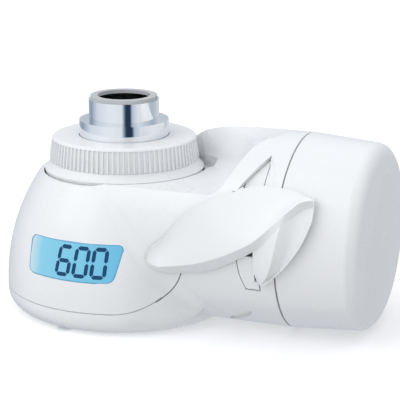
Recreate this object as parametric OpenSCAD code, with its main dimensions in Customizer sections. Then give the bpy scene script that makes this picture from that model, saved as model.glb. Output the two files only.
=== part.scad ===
// Faucet mount water filter: valve head, union nut and thread adapter, display,
// turning lever and a round filter cartridge lying on its side.
// X runs along the cartridge towards its cover, the display faces -Y, Z is up.
// The origin is where the adapter's thread shoulder meets the faucet, on the thread axis.
// Heights below are measured from the base that the housing stands on.

/* [Head] */
// Widest radius of the domed head
head_r = 41; // [38:0.5:44]
// Height of the widest point of the head
head_belly_h = 9; // [8:0.5:11]
// Radius of the long arc of the head's side
head_arc_r = 68; // [60:1:90]
// Radius of the rounding at the foot of the head
foot_round = 7; // [5:0.5:8]
// Height of the head's top edge round the nut
head_top_h = 47.6; // [46:0.2:49]
// Wall of the outer shells
shell_t = 2.4; // [1.8:0.1:3]
// Height of the seam between the front cover and the housing, at the display
seam_h = 8; // [6:0.5:10]
// Width of the groove along that seam
seam_w = 0.35; // [0.2:0.05:0.6]

/* [Drum] */
// Outer radius of the cartridge drum
drum_r = 32.5; // [30:0.5:34]
// Seam between the drum and the cartridge cover, from the nut's axis
drum_end_x = 65.7; // [64:0.1:70]
// Far end of the cover's domed face, from the nut's axis
cover_end_x = 92.9; // [88:0.1:100]
// Radius of the cover at the start of its rounded edge
cover_small_r = 30.9; // [29:0.1:32]
// Seam gap round the cover
seam_gap = 0.4; // [0.2:0.1:0.8]
// Radius of the bore that the valve rotor turns in
rotor_bore_r = 31.2; // [29:0.1:31.4]

/* [Union nut and adapter] */
// Nominal outer radius of the faucet thread
thread_r = 12; // [10:0.5:13.5]
// Length of the faucet thread above its shoulder
thread_len = 7; // [5:0.5:9]
// Height of the thread shoulder above the base
shoulder_h = 65; // [63:0.5:68]
// Outer radius of the adapter's smooth ring
adapter_r = 15.3; // [14.5:0.1:16]
// Height of the nut's flat top
nut_top_h = 59.7; // [58:0.1:62]
// Height of the nut's lower edge
nut_base_h = 46; // [45:0.1:46.5]
// Radius of the nut at its top
nut_top_r = 24.8; // [23:0.1:26]
// Radius of the nut at its lower edge
nut_base_r = 27.1; // [26:0.1:28]
// Number of grip grooves round the nut
groove_count = 90; // [36:1:100]
// Depth of a grip groove
groove_depth = 0.7; // [0.3:0.1:1]
// Gap between the nut and the head's opening
nut_gap = 0.6; // [0.3:0.1:1]

/* [Lever] */
// Lever travel, in degrees
lever_travel = 40; // [20:1:44]
// Slot edge nearer the nut, from the nut's axis
slot_x0 = 53.3; // [53.1:0.1:54]
// Slot edge nearer the cover, from the nut's axis
slot_x1 = 60.9; // [60:0.1:62]
// Lower end of the slot, in degrees from the front
slot_low_a = -24; // [-28:1:-20]
// Air under the lever's wing, above the drum
wing_lift = 1.1; // [0.8:0.1:2]
// Thickness of the wing at its upper edge
wing_t = 1.3; // [1:0.1:2]
// Thickness of the wing at its lower edge
wing_edge_t = 3.4; // [2.5:0.1:4.5]

/* [Display] */
// Width of the display window along its top
window_w = 35; // [30:0.5:36]
// Height of the display window
window_h = 12.6; // [10:0.2:14]
// Height of the window's centre above the base
window_mid_h = 24.6; // [22:0.2:27]
// Thickness of the display panel
panel_t = 1.4; // [1:0.1:2]
// Height of a digit on the display
digit_h = 9; // [7:0.2:10]

/* [Outlet] */
// Radius of the outlet ring
outlet_r = 15.5; // [13:0.1:17]
// Number of spray holes
spray_holes = 24; // [12:1:30]
// Radius of a spray hole
spray_hole_r = 0.6; // [0.4:0.1:0.9]

/* [Hidden] */
$fn = 96;

white = [0.93, 0.94, 0.95];
gap = 0.3;
fit_gap = 0.05;
drum_z = drum_r;
drum_start_x = -1;
drum_hollow_x = 11;
foot_in_r = head_r - foot_round;
opening_r = nut_base_r + nut_gap;
bulkhead_x = 49.6;
bore_x = 52.9;
floor_h = 1.2;
floor_t = 2.6;
cavity_top_h = 45;
split_arc_r = 23;
split_arc_x = 12.5;

// Scoop beside the nut: a dish turned about its own upright axis
scoop_x = 24;
scoop_y = -15;
scoop_floor_h = head_top_h + 1.2;
scoop_r = 25.6;
scoop_foot_r = 3.6;
drum_top_h = 2 * drum_r;

// Valve body
column_r = 14;
arm_r = 12.2;
arm_bore_r = 9;
neck_r = 11;
lip_h = 2.2;
flange_r = 14.6;
flange_t = 2;
seat_r = 24;
seat_top_h = cavity_top_h + 0.6;
inlet_r = 8;
outlet_chamber_r = 10;
column_low_h = 6.4;
nut_bore_r = adapter_r + 0.2;
flange_low_h = nut_base_h + lip_h + gap;
flange_top_h = flange_low_h + flange_t;
seal_t = 1.6;
adapter_low_h = flange_top_h + seal_t;

// Lever and rotor
rotor_r = rotor_bore_r - gap;
rotor_x0 = bore_x + gap;
rotor_x1 = 59.3;
rotor_rim_t = 3;
pad_x0 = slot_x0 + 0.4;
pad_x1 = slot_x1 - 0.4;
pad_low_a = slot_low_a + 1.4;
root_x0 = pad_x0 + 0.8;
root_x1 = rotor_x1 - 0.6;
root_depth = 1.2;
root_low_a = slot_low_a + 8;
pad_high_a = 1.6;
slot_high_a = pad_high_a + lever_travel + 1.4;
pad_r = drum_r + 0.1;
wing_in_r = drum_r + wing_lift;

// Cartridge
socket_x0 = rotor_x1 + 0.4;
socket_t = 1.6;
socket_boss_r = 9;
socket_bore_r = 6.3;
spigot_x0 = socket_x0 + socket_t + gap;
spigot_r = rotor_bore_r - gap;
spigot_t = 2;
case_r = spigot_r - spigot_t - gap;
cover_t = 2;
case_x0 = spigot_x0 + 0.4;
case_x1 = cover_end_x - cover_t - 2 - gap;
case_t = 1.2;
cover_x0 = drum_end_x + seam_gap;
neck_out_r = socket_bore_r - fit_gap;

// Display
window_back_y = 9.6 - head_r;
panel_y = window_back_y + 0.2;
board_y = panel_y + panel_t + 1.2;
board_t = 1.2;

// Points of an arc from angle a to angle b, in degrees, in n steps
function arc(cx, cy, r, a, b, n = 12) =
    [for (i = [0:n]) let (t = a + (b - a) * i / n) [cx + r * cos(t), cy + r * sin(t)]];

// Smooth curve through a list of [key, value] points
function seg(pts, x, i = 0) = (i >= len(pts) - 2 || x < pts[i + 1][0]) ? i : seg(pts, x, i + 1);
function slope(pts, i) =
    let (a = max(i - 1, 0), b = min(i + 1, len(pts) - 1))
    (pts[b][1] - pts[a][1]) / (pts[b][0] - pts[a][0]);
function smooth(pts, x) =
    let (i = seg(pts, x), h = pts[i + 1][0] - pts[i][0],
         t = min(1, max(0, (x - pts[i][0]) / h)))
    pts[i][1] * (1 + 2 * t) * pow(1 - t, 2) + slope(pts, i) * h * t * pow(1 - t, 2)
    + pts[i + 1][1] * t * t * (3 - 2 * t) + slope(pts, i + 1) * h * t * t * (t - 1);

// A point on a surface round the drum's axis: angle from the front, upwards
function drum_point(x, r, a) = [x, -r * cos(a), drum_z + r * sin(a)];

// Radius of the head's side at a height
function head_side_r(z) = head_r - head_arc_r + sqrt(pow(head_arc_r, 2) - pow(z - head_belly_h, 2));

// Skin of a stack of rings with the same number of points, closed at both ends
module rings_solid(rings) {
    n = len(rings[0]);
    m = len(rings);
    points = [for (r = rings) each r];
    sides = [for (j = [0:m - 2], i = [0:n - 1])
        each [[j * n + i, (j + 1) * n + i, j * n + (i + 1) % n],
              [j * n + (i + 1) % n, (j + 1) * n + i, (j + 1) * n + (i + 1) % n]]];
    caps = [[for (i = [0:n - 1]) i], [for (i = [n - 1:-1:0]) (m - 1) * n + i]];
    polyhedron(points, concat(sides, caps), convexity = 6);
}

module along_x(x0, x1, r) {
    translate([x0, 0, drum_z]) rotate([0, 90, 0]) cylinder(r = r, h = x1 - x0);
}

// The same with its top cut flat, so that it can't turn in its seat
module flat_topped(x0, x1, r, top_h) {
    intersection() {
        along_x(x0, x1, r);
        translate([x0 - 1, -r - 1, drum_z - r - 1]) cube([x1 - x0 + 2, 2 * r + 2, top_h - drum_z + r + 1]);
    }
}

// Solid of revolution about the drum's axis, from a polygon of [x, r] points
module turned_on_drum(pts) {
    translate([0, 0, drum_z]) rotate([0, 90, 0])
        rotate_extrude() polygon([for (p = pts) [p[1], p[0]]]);
}

// Part of a ring round the drum's axis, between two angles from the front
module drum_sector(x0, x1, r0, r1, a0, a1) {
    translate([0, 0, drum_z]) rotate([-90, 0, 0]) rotate([0, 90, 0]) rotate([0, 0, -a1])
        rotate_extrude(angle = a1 - a0) translate([r0, x0]) square([r1 - r0, x1 - x0]);
}

// Outline of the head, reduced on the outside by an inset
module head_solid(inset, low, high) {
    n = 32;
    rotate_extrude() polygon(concat(
        [[0, low]],
        low < foot_round ? arc(foot_in_r, foot_round, foot_round - inset,
            -90 + acos(min(1, (foot_round - low) / (foot_round - inset))), 0, 12) : [],
        [for (i = [0:n])
            let (z = max(low, head_belly_h) + (high - max(low, head_belly_h)) * i / n)
            [head_side_r(z) - inset, z]],
        [[0, high]]));
}

// Everything on the front cover's side of the seam, or of a line moved up from it
module above_split(up = 0) {
    far = 200;
    translate([0, far, 0]) rotate([90, 0, 0]) linear_extrude(2 * far) polygon(concat(
        [[-far, seam_h + up]],
        arc(split_arc_x, seam_h + split_arc_r, split_arc_r - up, -90, -10, 16),
        [[split_arc_x + split_arc_r + 4 - up, far], [-far, far]]));
}

// Groove along the seam, in the front cover's outer face
module seam_groove() {
    difference() {
        above_split();
        above_split(seam_w);
        head_solid(shell_t / 4, 0, head_top_h);
    }
}

// Height and distance from the scoop's axis, up its steep wall and over its rim
scoop_wall = [[-13.2, -0.5], [-7.7, 0.3], [-3.6, 1.8], [-1.8, 4], [-0.8, 6.9], [0, 12.4]];

// Upright section of the scoop, its wall moved outwards by grow
module scoop_section(grow) {
    polygon(concat(
        [[0, scoop_floor_h]],
        arc(scoop_r + grow - scoop_foot_r - 0.5, scoop_floor_h + scoop_foot_r, scoop_foot_r,
            -90, -8, 7),
        [for (i = [1:12])
            let (h = scoop_wall[0][0] * (1 - i / 12))
            [scoop_r + grow + smooth(scoop_wall, h), drum_top_h + h]],
        [[scoop_r + grow + 12.4, drum_top_h + 20], [0, drum_top_h + 20]]));
}

// The scoop's wall runs straight from the bowl to the nut, and on round the nut
module scoop() {
    nut_grow = opening_r + 0.9 - scoop_r;
    run_grow = nut_grow - 0.5;
    reach = norm([scoop_x, scoop_y]);
    run_a = atan2(scoop_y, scoop_x) + acos(run_grow / reach);
    run = sqrt(pow(reach, 2) - pow(run_grow, 2));
    translate([scoop_x, scoop_y, 0]) rotate_extrude() scoop_section(0);
    translate([scoop_x, scoop_y, 0]) rotate([0, 0, run_a]) translate([0, run, 0])
        rotate([90, 0, 0]) linear_extrude(run) scoop_section(0);
    rotate_extrude() scoop_section(nut_grow);
}

// Openings cut from both shells round the nut
module nut_opening() {
    rim_r = opening_r + 0.9;
    beak_r = rim_r + 3.8;
    beak_a = 22;
    foot_r = rim_r - 2;
    side_a = acos(foot_r / beak_r);
    cylinder_between(cavity_top_h - 5, 2 * drum_top_h, opening_r);
    cylinder_between(head_top_h, 2 * drum_top_h, rim_r);
    translate([0, 0, head_top_h - 0.8]) linear_extrude(4.2) polygon([
        [0, 0],
        [foot_r * cos(beak_a - side_a), foot_r * sin(beak_a - side_a)],
        [beak_r * cos(beak_a), beak_r * sin(beak_a)],
        [foot_r * cos(beak_a + side_a), foot_r * sin(beak_a + side_a)]]);
}

// Upright prism on the drum's outside at an angle: outline in x and along the drum's curve
module on_drum(angle, r0, r1) {
    translate([0, 0, drum_z]) rotate([-angle, 0, 0]) translate([0, -r0, 0]) rotate([90, 0, 0])
        linear_extrude(r1 - r0) children();
}

// Lower left corner of the slot and of the pad in it, slanted
module slot_corner(shift) {
    on_drum(slot_low_a + 10, rotor_bore_r - 3, drum_r + 3) translate([shift, 0])
        polygon([[slot_x0 - 2, 18.5], [slot_x0 + 0.7, 0], [slot_x0 + 2.3, -4.7],
                 [slot_x0 + 2.8, -8], [slot_x0 - 2, -8]]);
}

// Slot for the lever's pad, with a pointed upper end and a shallow hollow on its right
module lever_slot() {
    difference() {
        drum_sector(slot_x0, slot_x1, rotor_bore_r - 1, drum_r + 2, slot_low_a, slot_high_a);
        slot_corner(0);
    }
    on_drum(slot_high_a, rotor_bore_r - 3, drum_r + 3)
        polygon([[slot_x0 - 1.8, -4.6], [slot_x0, -3.4], [slot_x0, -0.6], [slot_x1, -0.6],
                 [slot_x1, 2], [slot_x1 - 1.9, 9]]);
    intersection() {
        drum_sector(slot_x0, slot_x1 + 4, drum_r - 0.6, drum_r + 3, slot_high_a - 25,
                    slot_high_a + 25);
        on_drum(slot_high_a, rotor_bore_r - 6, drum_r + 3)
            polygon([[slot_x1 - 0.5, -10], [slot_x1 + 3, -3], [slot_x1 + 2.2, 0.5],
                     [slot_x1 + 0.6, 5.4], [slot_x1 - 1.9, 9.6], [slot_x1 - 1.9, 0]]);
    }
}

// Leaf-shaped hollow low on the drum, between the head's foot and the slot
module leaf_hollow() {
    on_drum(-52, drum_r - 1.3, drum_r + 2) translate([50.3, -0.7]) rotate(46.8)
        polygon(concat(arc(0, -16.3, 18.2, 64.5, 115.5, 8), arc(0, 16.3, 18.2, 244.5, 295.5, 8)));
}

screw_angles = [100, 155, 205, 260];
screw_ring_r = head_r - 5.4;
post_r = 3.4;
screw_r = 1.3;
screw_head_r = 2.5;
screw_head_h = 1.6;

module at_screws() {
    for (a = screw_angles) rotate(a) translate([screw_ring_r, 0, 0]) children();
}

module lower_housing() {
    color(white) difference() {
        union() {
            difference() {
                union() {
                    difference() {
                        head_solid(0, 0, head_top_h);
                        above_split();
                    }
                    along_x(drum_start_x, drum_end_x, drum_r);
                }
                difference() {
                    head_solid(shell_t, floor_h + floor_t, cavity_top_h);
                    at_screws() cylinder(r = post_r, h = seam_h);
                }
                intersection() {
                    along_x(drum_hollow_x, bulkhead_x, drum_r - shell_t - 0.4);
                    translate([0, -60, 3]) cube([80, 120, cavity_top_h - 3]);
                }
            }
        }
        translate([0, 0, -1]) cylinder(r = outlet_r + fit_gap, h = 8);
        translate([0, 0, -0.01]) cylinder(r = foot_in_r - 3, h = floor_h + 0.01);
        scoop();
        nut_opening();
        flat_topped(bulkhead_x - 1, bore_x + 1, seat_r + fit_gap, seat_top_h + fit_gap);
        along_x(bore_x, drum_end_x + 1, rotor_bore_r);
        lever_slot();
        leaf_hollow();
        at_screws() {
            translate([0, 0, -1]) cylinder(r = screw_r + 0.2, h = 20);
            translate([0, 0, -1]) cylinder(r = screw_head_r + 0.2, h = 1 + floor_h + screw_head_h);
        }
    }
}

// Rounded outline of the display window: wider at the top, one deep lower corner
module window_outline(inset) {
    w = window_w / 2 - inset;
    h = window_h / 2 - inset;
    low_left = 3.2;
    low_right = 6.4;
    polygon(concat(
        arc(-w + 3, h - 2.6, 2.6, 90, 165, 6),
        arc(-w + low_left, -h + 2.6, 2.6, 195, 270, 6),
        arc(w - low_right - 2.2, -h + 4.2, 4.2, -90, -25, 6),
        arc(w - 2, h - 2, 2, 0, 90, 6)));
}

module window_prism(inset, y0, y1) {
    translate([-2, y1, window_mid_h]) rotate([90, 0, 0])
        linear_extrude(y1 - y0) window_outline(inset);
}

module front_cover() {
    color(white) difference() {
        union() {
            intersection() {
                difference() {
                    head_solid(0, floor_h, head_top_h);
                    difference() {
                        head_solid(shell_t, floor_h + floor_t, cavity_top_h);
                        at_screws() cylinder(r = post_r, h = seam_h + 12);
                    }
                }
                above_split();
            }
            board_posts();
        }
        along_x(drum_start_x, 80, drum_r + 0.1);
        nut_opening();
        window_prism(0, -head_r - 20, window_back_y + 12);
        seam_groove();
        at_screws() cylinder(r = screw_r, h = seam_h + 9);
    }
}

post_x = 12.5;
board_w = 34;
board_h0 = window_mid_h - 10.6;
board_h1 = window_mid_h + 10.4;

module board_posts() {
    intersection() {
        for (x = [-post_x, post_x], z = [board_h0 + 1.6, board_h1 - 1.6])
            translate([x, board_y, z]) rotate([90, 0, 0]) cylinder(r = 1.5, h = 20);
        head_solid(shell_t / 2, floor_h + floor_t, cavity_top_h);
    }
}

module display_window() {
    color([0.55, 0.8, 0.92, 0.5]) intersection() {
        difference() {
            head_solid(0.25, floor_h, head_top_h);
            translate([-60, window_back_y, 0]) cube([120, 120, 80]);
        }
        window_prism(0.15, -head_r - 20, window_back_y + 12);
    }
}

module display_panel() {
    color([0.42, 0.75, 0.92]) window_prism(0.15, panel_y, panel_y + panel_t);
}

// One segment bar of a digit: pointed at both ends
module segment_bar(len, t) {
    polygon([[0, 0], [t / 2, t / 2], [len - t / 2, t / 2], [len, 0],
             [len - t / 2, -t / 2], [t / 2, -t / 2]]);
}

// Seven-segment digit: a, b, c, d, e, f, g as flags
module digit(on) {
    t = digit_h * 0.14;
    w = digit_h * 0.46;
    h = digit_h / 2;
    air = 0.25;
    lean = 0.12;
    places = [[0, 2 * h, 0], [w, h, 90], [w, 0, 90], [0, 0, 0], [0, 0, 90], [0, h, 90], [0, h, 0]];
    multmatrix([[1, lean, 0, 0], [0, 1, 0, 0], [0, 0, 1, 0], [0, 0, 0, 1]])
        for (i = [0:6]) if (on[i] == 1)
            translate([places[i][0], places[i][1]]) rotate(places[i][2])
                translate([air, 0]) segment_bar((places[i][2] == 90 ? h : w) - 2 * air, t);
}

six = [1, 0, 1, 1, 1, 1, 1];
zero = [1, 1, 1, 1, 1, 1, 0];

module display_digits() {
    pitch = digit_h * 0.72;
    color([0.1, 0.25, 0.5]) translate([-10.4, panel_y, window_mid_h - digit_h / 2])
        rotate([90, 0, 0]) linear_extrude(0.12)
            for (i = [0:2]) translate([i * pitch, 0]) digit(i == 0 ? six : zero);
}

module circuit_board() {
    color([0.1, 0.45, 0.25]) difference() {
        translate([-board_w / 2, board_y, board_h0]) cube([board_w, board_t, board_h1 - board_h0]);
        for (x = [2.2 - board_w / 2, board_w / 2 - 2.2], z = [board_h0 + 1.4, board_h1 - 1.4])
            translate([x, board_y + 3, z]) rotate([90, 0, 0]) cylinder(r = 0.8, h = 6);
    }
}

battery_r = 10;
battery_t = 3.2;

module coin_battery() {
    color([0.75, 0.76, 0.78]) translate([0, board_y + board_t + battery_t, window_mid_h])
        rotate([90, 0, 0]) {
            cylinder(r = battery_r, h = battery_t * 0.7);
            cylinder(r = battery_r - 1, h = battery_t);
        }
}

module valve_body() {
    color([0.8, 0.82, 0.84]) difference() {
        union() {
            translate([0, 0, column_low_h]) cylinder(r = column_r, h = 44.8 - column_low_h);
            cylinder_between(43, flange_low_h, neck_r);
            cylinder_between(flange_low_h, flange_top_h, flange_r);
            along_x(0, bore_x - 0.4, arm_r);
            flat_topped(bulkhead_x + 0.2, bore_x - 0.4, seat_r, seat_top_h);
        }
        translate([0, 0, 20]) cylinder(r = inlet_r, h = 40);
        along_x(-4, bore_x + 1, arm_bore_r);
        translate([0, 0, column_low_h - 1]) cylinder(r = outlet_chamber_r, h = 10.6);
        translate([11, 0, return_h]) rotate([0, 90, 0]) cylinder(r = return_r + fit_gap, h = 5);
        translate([0, 0, return_h]) rotate([0, 90, 0]) cylinder(r = return_bore_r, h = 12);
        translate([48, 0, return_h]) rotate([0, 90, 0]) cylinder(r = return_bore_r, h = 8);
        translate([0, 0, flange_top_h - 1]) cylinder(r = inlet_r + 2, h = 2);
        along_x(turbine_x - 5, turbine_x + 5, arm_bore_r + 0.6);
    }
}

return_h = 12.2;
return_r = 3.4;
return_bore_r = 2.4;

module cylinder_between(z0, z1, r) {
    translate([0, 0, z0]) cylinder(r = r, h = z1 - z0);
}

module return_pipe() {
    color([0.85, 0.87, 0.9]) translate([11.2, 0, return_h]) rotate([0, 90, 0]) difference() {
        cylinder(r = return_r, h = bulkhead_x + 0.2 - 11.2);
        translate([0, 0, -1]) cylinder(r = return_bore_r, h = 60);
    }
}

module inlet_strainer() {
    color([0.75, 0.77, 0.8]) translate([0, 0, flange_top_h - 1]) difference() {
        cylinder(r = inlet_r + 1.9, h = 0.9);
        for (ring = [1:3], i = [0:ring * 6 - 1])
            rotate(i * 60 / ring) translate([ring * 2.1, 0, -1]) cylinder(r = 0.6, h = 4, $fn = 6);
    }
}

module inlet_seal() {
    color([0.2, 0.2, 0.22]) translate([0, 0, flange_top_h]) difference() {
        cylinder(r = flange_r - 0.2, h = seal_t);
        translate([0, 0, -1]) cylinder(r = inlet_r + 2.2, h = 4);
    }
}

nut_flare_h = nut_base_h + 5;

// One grip groove: a thin wedge that leans out of the wall at its lower end
module grip_groove() {
    translate([nut_top_r + 0.45 - groove_depth + 0.9, 0, nut_flare_h + 0.2])
        rotate([0, -4, 0]) rotate([0, 0, 45]) cylinder(r = 0.9, h = 7.6, $fn = 4);
}

module nut_blank() {
    rotate_extrude() polygon(concat(
        [[nut_bore_r, nut_top_h]],
        arc(nut_top_r - 1.4, nut_top_h - 1.4, 1.4, 90, 10, 6),
        [[nut_top_r + 0.5, nut_top_h - 5], [nut_top_r + 0.9, nut_flare_h + 0.6]],
        arc(nut_base_r + 3.4, nut_flare_h + 2.4, 5.6, 200, 236, 6),
        [[nut_base_r, nut_base_h + 1.6], [nut_base_r - 0.4, nut_base_h]],
        [[neck_r + gap, nut_base_h], [neck_r + gap, nut_base_h + lip_h],
         [nut_bore_r, nut_base_h + lip_h]]));
}

module union_nut() {
    color(white) difference() {
        nut_blank();
        for (i = [0:groove_count - 1]) rotate(i * 360 / groove_count) grip_groove();
    }
}

module faucet_adapter() {
    color([0.75, 0.78, 0.82]) difference() {
        union() {
            cylinder_between(adapter_low_h, shoulder_h, adapter_r);
            cylinder_between(shoulder_h - 1, shoulder_h + thread_len, thread_r);
        }
        cylinder_between(adapter_low_h - 1, shoulder_h - 3, thread_r - 1.6);
        cylinder_between(0, 100, thread_r - 3);
    }
}

module adapter_washer() {
    color([0.2, 0.2, 0.22]) translate([0, 0, shoulder_h + thread_len]) difference() {
        cylinder(r = thread_r - 0.6, h = 1.2);
        translate([0, 0, -1]) cylinder(r = thread_r - 3, h = 4);
    }
}

turbine_x = 40;
axle_r = 0.8;
blade_count = 6;

module flow_turbine() {
    color([0.25, 0.55, 0.75]) translate([turbine_x, 0, drum_z]) rotate([0, 90, 0])
        difference() {
            union() {
                translate([0, 0, -2.5]) cylinder(r = 2.6, h = 5);
                for (i = [0:blade_count - 1]) rotate(i * 360 / blade_count)
                    rotate([28, 0, 0]) translate([1.5, -0.45, -2]) cube([6.4, 0.9, 4]);
            }
            translate([0, 0, -10]) cylinder(r = axle_r + fit_gap, h = 20);
        }
}

module turbine_axle() {
    color([0.7, 0.72, 0.75]) {
        along_x(turbine_x - 5, turbine_x + 5, axle_r);
        for (x = [turbine_x - 5, turbine_x + 3.4]) difference() {
            union() {
                along_x(x, x + 1.6, 1.8);
                for (a = [0:120:240]) translate([x, 0, drum_z]) rotate([a, 0, 0])
                    translate([0, -0.6, 0]) cube([1.6, 1.2, arm_bore_r + 0.4]);
            }
            along_x(x - 1, x + 3, axle_r - 0.1);
        }
    }
}

module valve_seal() {
    color([0.2, 0.2, 0.22]) translate([bore_x - 0.4, 0, drum_z]) rotate([0, 90, 0])
        difference() {
            cylinder(r = arm_bore_r + 3.4, h = 0.6);
            translate([0, 0, -1]) cylinder(r = arm_bore_r + 1.4, h = 4);
        }
}

// Wing outline as angles from the front, at shares of the wing's length from its tip
wing_tip_x = head_r - 18.6;
wing_end_x = slot_x1 + 18.05;
wing_upper = [[0, -8.6], [0.03, -4], [0.12, 4], [0.225, 16.4], [0.332, 24.6], [0.493, 31.4],
              [0.636, 36.6], [0.814, 36.6], [0.93, 34.4], [1, 32.6]];
wing_lower = [[0, -9.6], [0.03, -10.8], [0.12, -10.4], [0.305, -7.2], [0.428, -3.5],
              [0.548, 1.3], [0.664, 7.3], [0.773, 16.1], [0.875, 25.6], [0.925, 29.5], [1, 31.8]];
wing_bevel = [[0, 3], [0.03, 4.5], [0.12, 6.7], [0.25, 7.1], [0.4, 7.4], [0.56, 5.8],
              [0.76, 4.5], [0.87, 3.6], [1, 2.4]];
wing_dish = 0.7;

// Web under the wing: left foot, ridge and right rim as distances from its corner, by angle
web_x = slot_x1 - 1.5;
web_left = [[-19, 2.2], [-17.4, 1.8], [-15.2, 1.1], [-11.1, 0.4], [-8.3, 0], [0, 0], [32, 0]];
web_ridge = [[-19, 2.4], [-14.1, 3.8], [-9.9, 5.3], [-2.6, 7.1], [6.1, 8.3], [14.6, 9.2],
             [32, 12.6]];
web_right = [[-19, 2.6], [-17, 3.4], [-11.5, 7.1], [-2.5, 11.9], [9, 16.2], [19.8, 18.5],
             [25.2, 19.1], [32, 19.5]];
web_rise = [[-19, 0.6], [-14, 1.7], [-10, 2.4], [0, 3.4], [10, 3.4], [18, 3], [25, 2], [32, 1]];
// Lowest angle of the web, by distance from the same corner
web_low = [[0, -8.3], [0.4, -11.1], [1.1, -15.2], [1.8, -17.4], [2.5, -18.6], [3.4, -17.4],
           [7.1, -11.5], [11.9, -2.5], [16.2, 9], [18.5, 19.8], [19.1, 25.2], [19.5, 29.5]];

// Height of the web above the wing's inner face: a ramp up to the ridge, then a hollow
// that ends at a raised rim
function web_height(dx, a) =
    let (left = smooth(web_left, a), ridge = smooth(web_ridge, a), right = smooth(web_right, a),
         rise = smooth(web_rise, a), rim = min(1.1, rise), brink = right - 0.8 * rim,
         floor_rise = 0.3 * rim)
    dx <= ridge ? 0.2 + (rise - 0.2) * max(0, (dx - left) / (ridge - left))
    : dx > brink ? 0.95 * rim
    : floor_rise + (rise - floor_rise) * pow((brink - dx) / (brink - ridge), 2.2);

// Section of wing and web across the drum at a place along it: outer face from the upper
// edge down over the bevel and the web, then back along the inner face
function grip_ring(x) =
    let (t = (x - wing_tip_x) / (wing_end_x - wing_tip_x), dx = x - web_x,
         au = smooth(wing_upper, t), al = smooth(wing_lower, t), low = al - smooth(wing_bevel, t),
         grow = min(1, 0.1 + t * 9),
         rl = wing_in_r + wing_edge_t * grow * min(1, 0.55 + (1 - t) * 5),
         ru = wing_in_r + wing_t,
         foot = dx < 0 ? low : min(low - 0.3, smooth(web_low, dx)),
         join_r = wing_in_r + (dx < 0 ? 0.1 : max(0.1, web_height(dx, low))),
         bevel_n = dx < 0 ? 10 : 3,
         down = [0.15, 0.3, 0.5, 0.7, 0.84, 0.94, 1])
    concat(
        [for (i = [0:8]) let (q = i / 8)
            drum_point(x, ru + (rl - ru) * pow(q, 1.5) - wing_dish * grow * sin(180 * q),
                       au + (al - au) * q)],
        [for (i = [1:bevel_n]) let (q = i / bevel_n)
            drum_point(x, rl + (join_r - rl) * q, al + (low - al) * q)],
        dx < 0 ? [] : [for (q = down) let (a = low + (foot - low) * q)
            drum_point(x, wing_in_r + max(0.1, web_height(dx, a)), a)],
        [for (i = [0:5]) let (q = i / 5)
            drum_point(x, wing_in_r, foot + (au + 0.6 - foot) * q)]);

module grip() {
    wing_stations = concat([0, 0.4, 1.2, 2.4, 4], [for (i = [1:15]) 4 + i * (web_x - 0.1
        - wing_tip_x - 4) / 15]);
    web_stations = concat([0, 0.4, 1.1, 1.8, 2.5, 3.4], [for (i = [1:14]) 3.4 + i],
                          [18, 18.6, 19.1, 19.5]);
    rings_solid(concat([for (s = wing_stations) grip_ring(wing_tip_x + s)],
                       [for (s = web_stations) grip_ring(web_x + s)]));
}

module lever() {
    color(white) {
        difference() {
            drum_sector(pad_x0, pad_x1, rotor_bore_r + gap, pad_r, pad_low_a, pad_high_a);
            slot_corner(pad_x0 - slot_x0);
        }
        drum_sector(root_x0, root_x1, rotor_r - root_depth, pad_r - 0.5, root_low_a, pad_high_a);
        drum_sector(pad_x0 + 2, pad_x1, pad_r - 0.4, wing_in_r + 0.7, -1.5, pad_high_a);
        drum_sector(web_x + 0.3, pad_x1, pad_r - 0.4, wing_in_r + 0.15, -16, pad_high_a);
        grip();
    }
}

module valve_rotor() {
    color([0.85, 0.86, 0.88]) difference() {
        union() {
            along_x(rotor_x0, rotor_x0 + 1.6, rotor_r);
            difference() {
                along_x(rotor_x0, rotor_x1, rotor_r);
                along_x(rotor_x0 - 1, rotor_x1 + 1, rotor_r - rotor_rim_t);
            }
            along_x(rotor_x0, rotor_x1, 5);
        }
        for (a = [30, 150, 270]) translate([0, 0, drum_z]) rotate([a, 0, 0])
            translate([rotor_x0 - 1, 0, 16]) rotate([0, 90, 0]) cylinder(r = 4, h = 6);
        drum_sector(root_x0 - fit_gap, root_x1 + fit_gap, rotor_r - root_depth - fit_gap,
                    rotor_r + 2, root_low_a - 0.15, pad_high_a + 0.15);
    }
}

module socket_plate() {
    color([0.8, 0.82, 0.84]) difference() {
        union() {
            along_x(socket_x0, socket_x0 + socket_t, rotor_bore_r);
            along_x(socket_x0, socket_x0 + 8.4, socket_boss_r);
        }
        along_x(socket_x0 - 1, socket_x0 + 20, socket_bore_r);
        for (a = [0:60:300]) translate([0, 0, drum_z]) rotate([a, 0, 0])
            translate([socket_x0 - 1, 0, 15]) rotate([0, 90, 0]) cylinder(r = 2.4, h = 6);
    }
}

module cartridge_cover() {
    edge_r = 4.6;
    edge_x = cover_end_x - 1.1 - edge_r;
    apex = cover_end_x;
    color(white) turned_on_drum(concat(
        [[spigot_x0, spigot_r - spigot_t], [spigot_x0, spigot_r], [cover_x0, spigot_r],
         [cover_x0, drum_r - 0.3], [cover_x0 + 0.3, drum_r]],
        arc(edge_x, cover_small_r - edge_r, edge_r, 90, 8, 8),
        [for (i = [1:5]) let (r = (cover_small_r - edge_r) * (1 - i / 5))
            [apex - 1.1 * pow(r / (cover_small_r - edge_r), 2), r]],
        [[apex - cover_t, 0], [apex - cover_t - 0.6, 20],
         [apex - cover_t - 2, spigot_r - spigot_t]]));
}

module cartridge_case() {
    color([0.9, 0.92, 0.94]) difference() {
        along_x(case_x0, case_x1, case_r);
        along_x(case_x0 - 1, case_x1 - case_t, case_r - case_t);
    }
}

cap_t = 1.4;
well_r = socket_boss_r + gap;
well_depth = 7.6;

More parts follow.
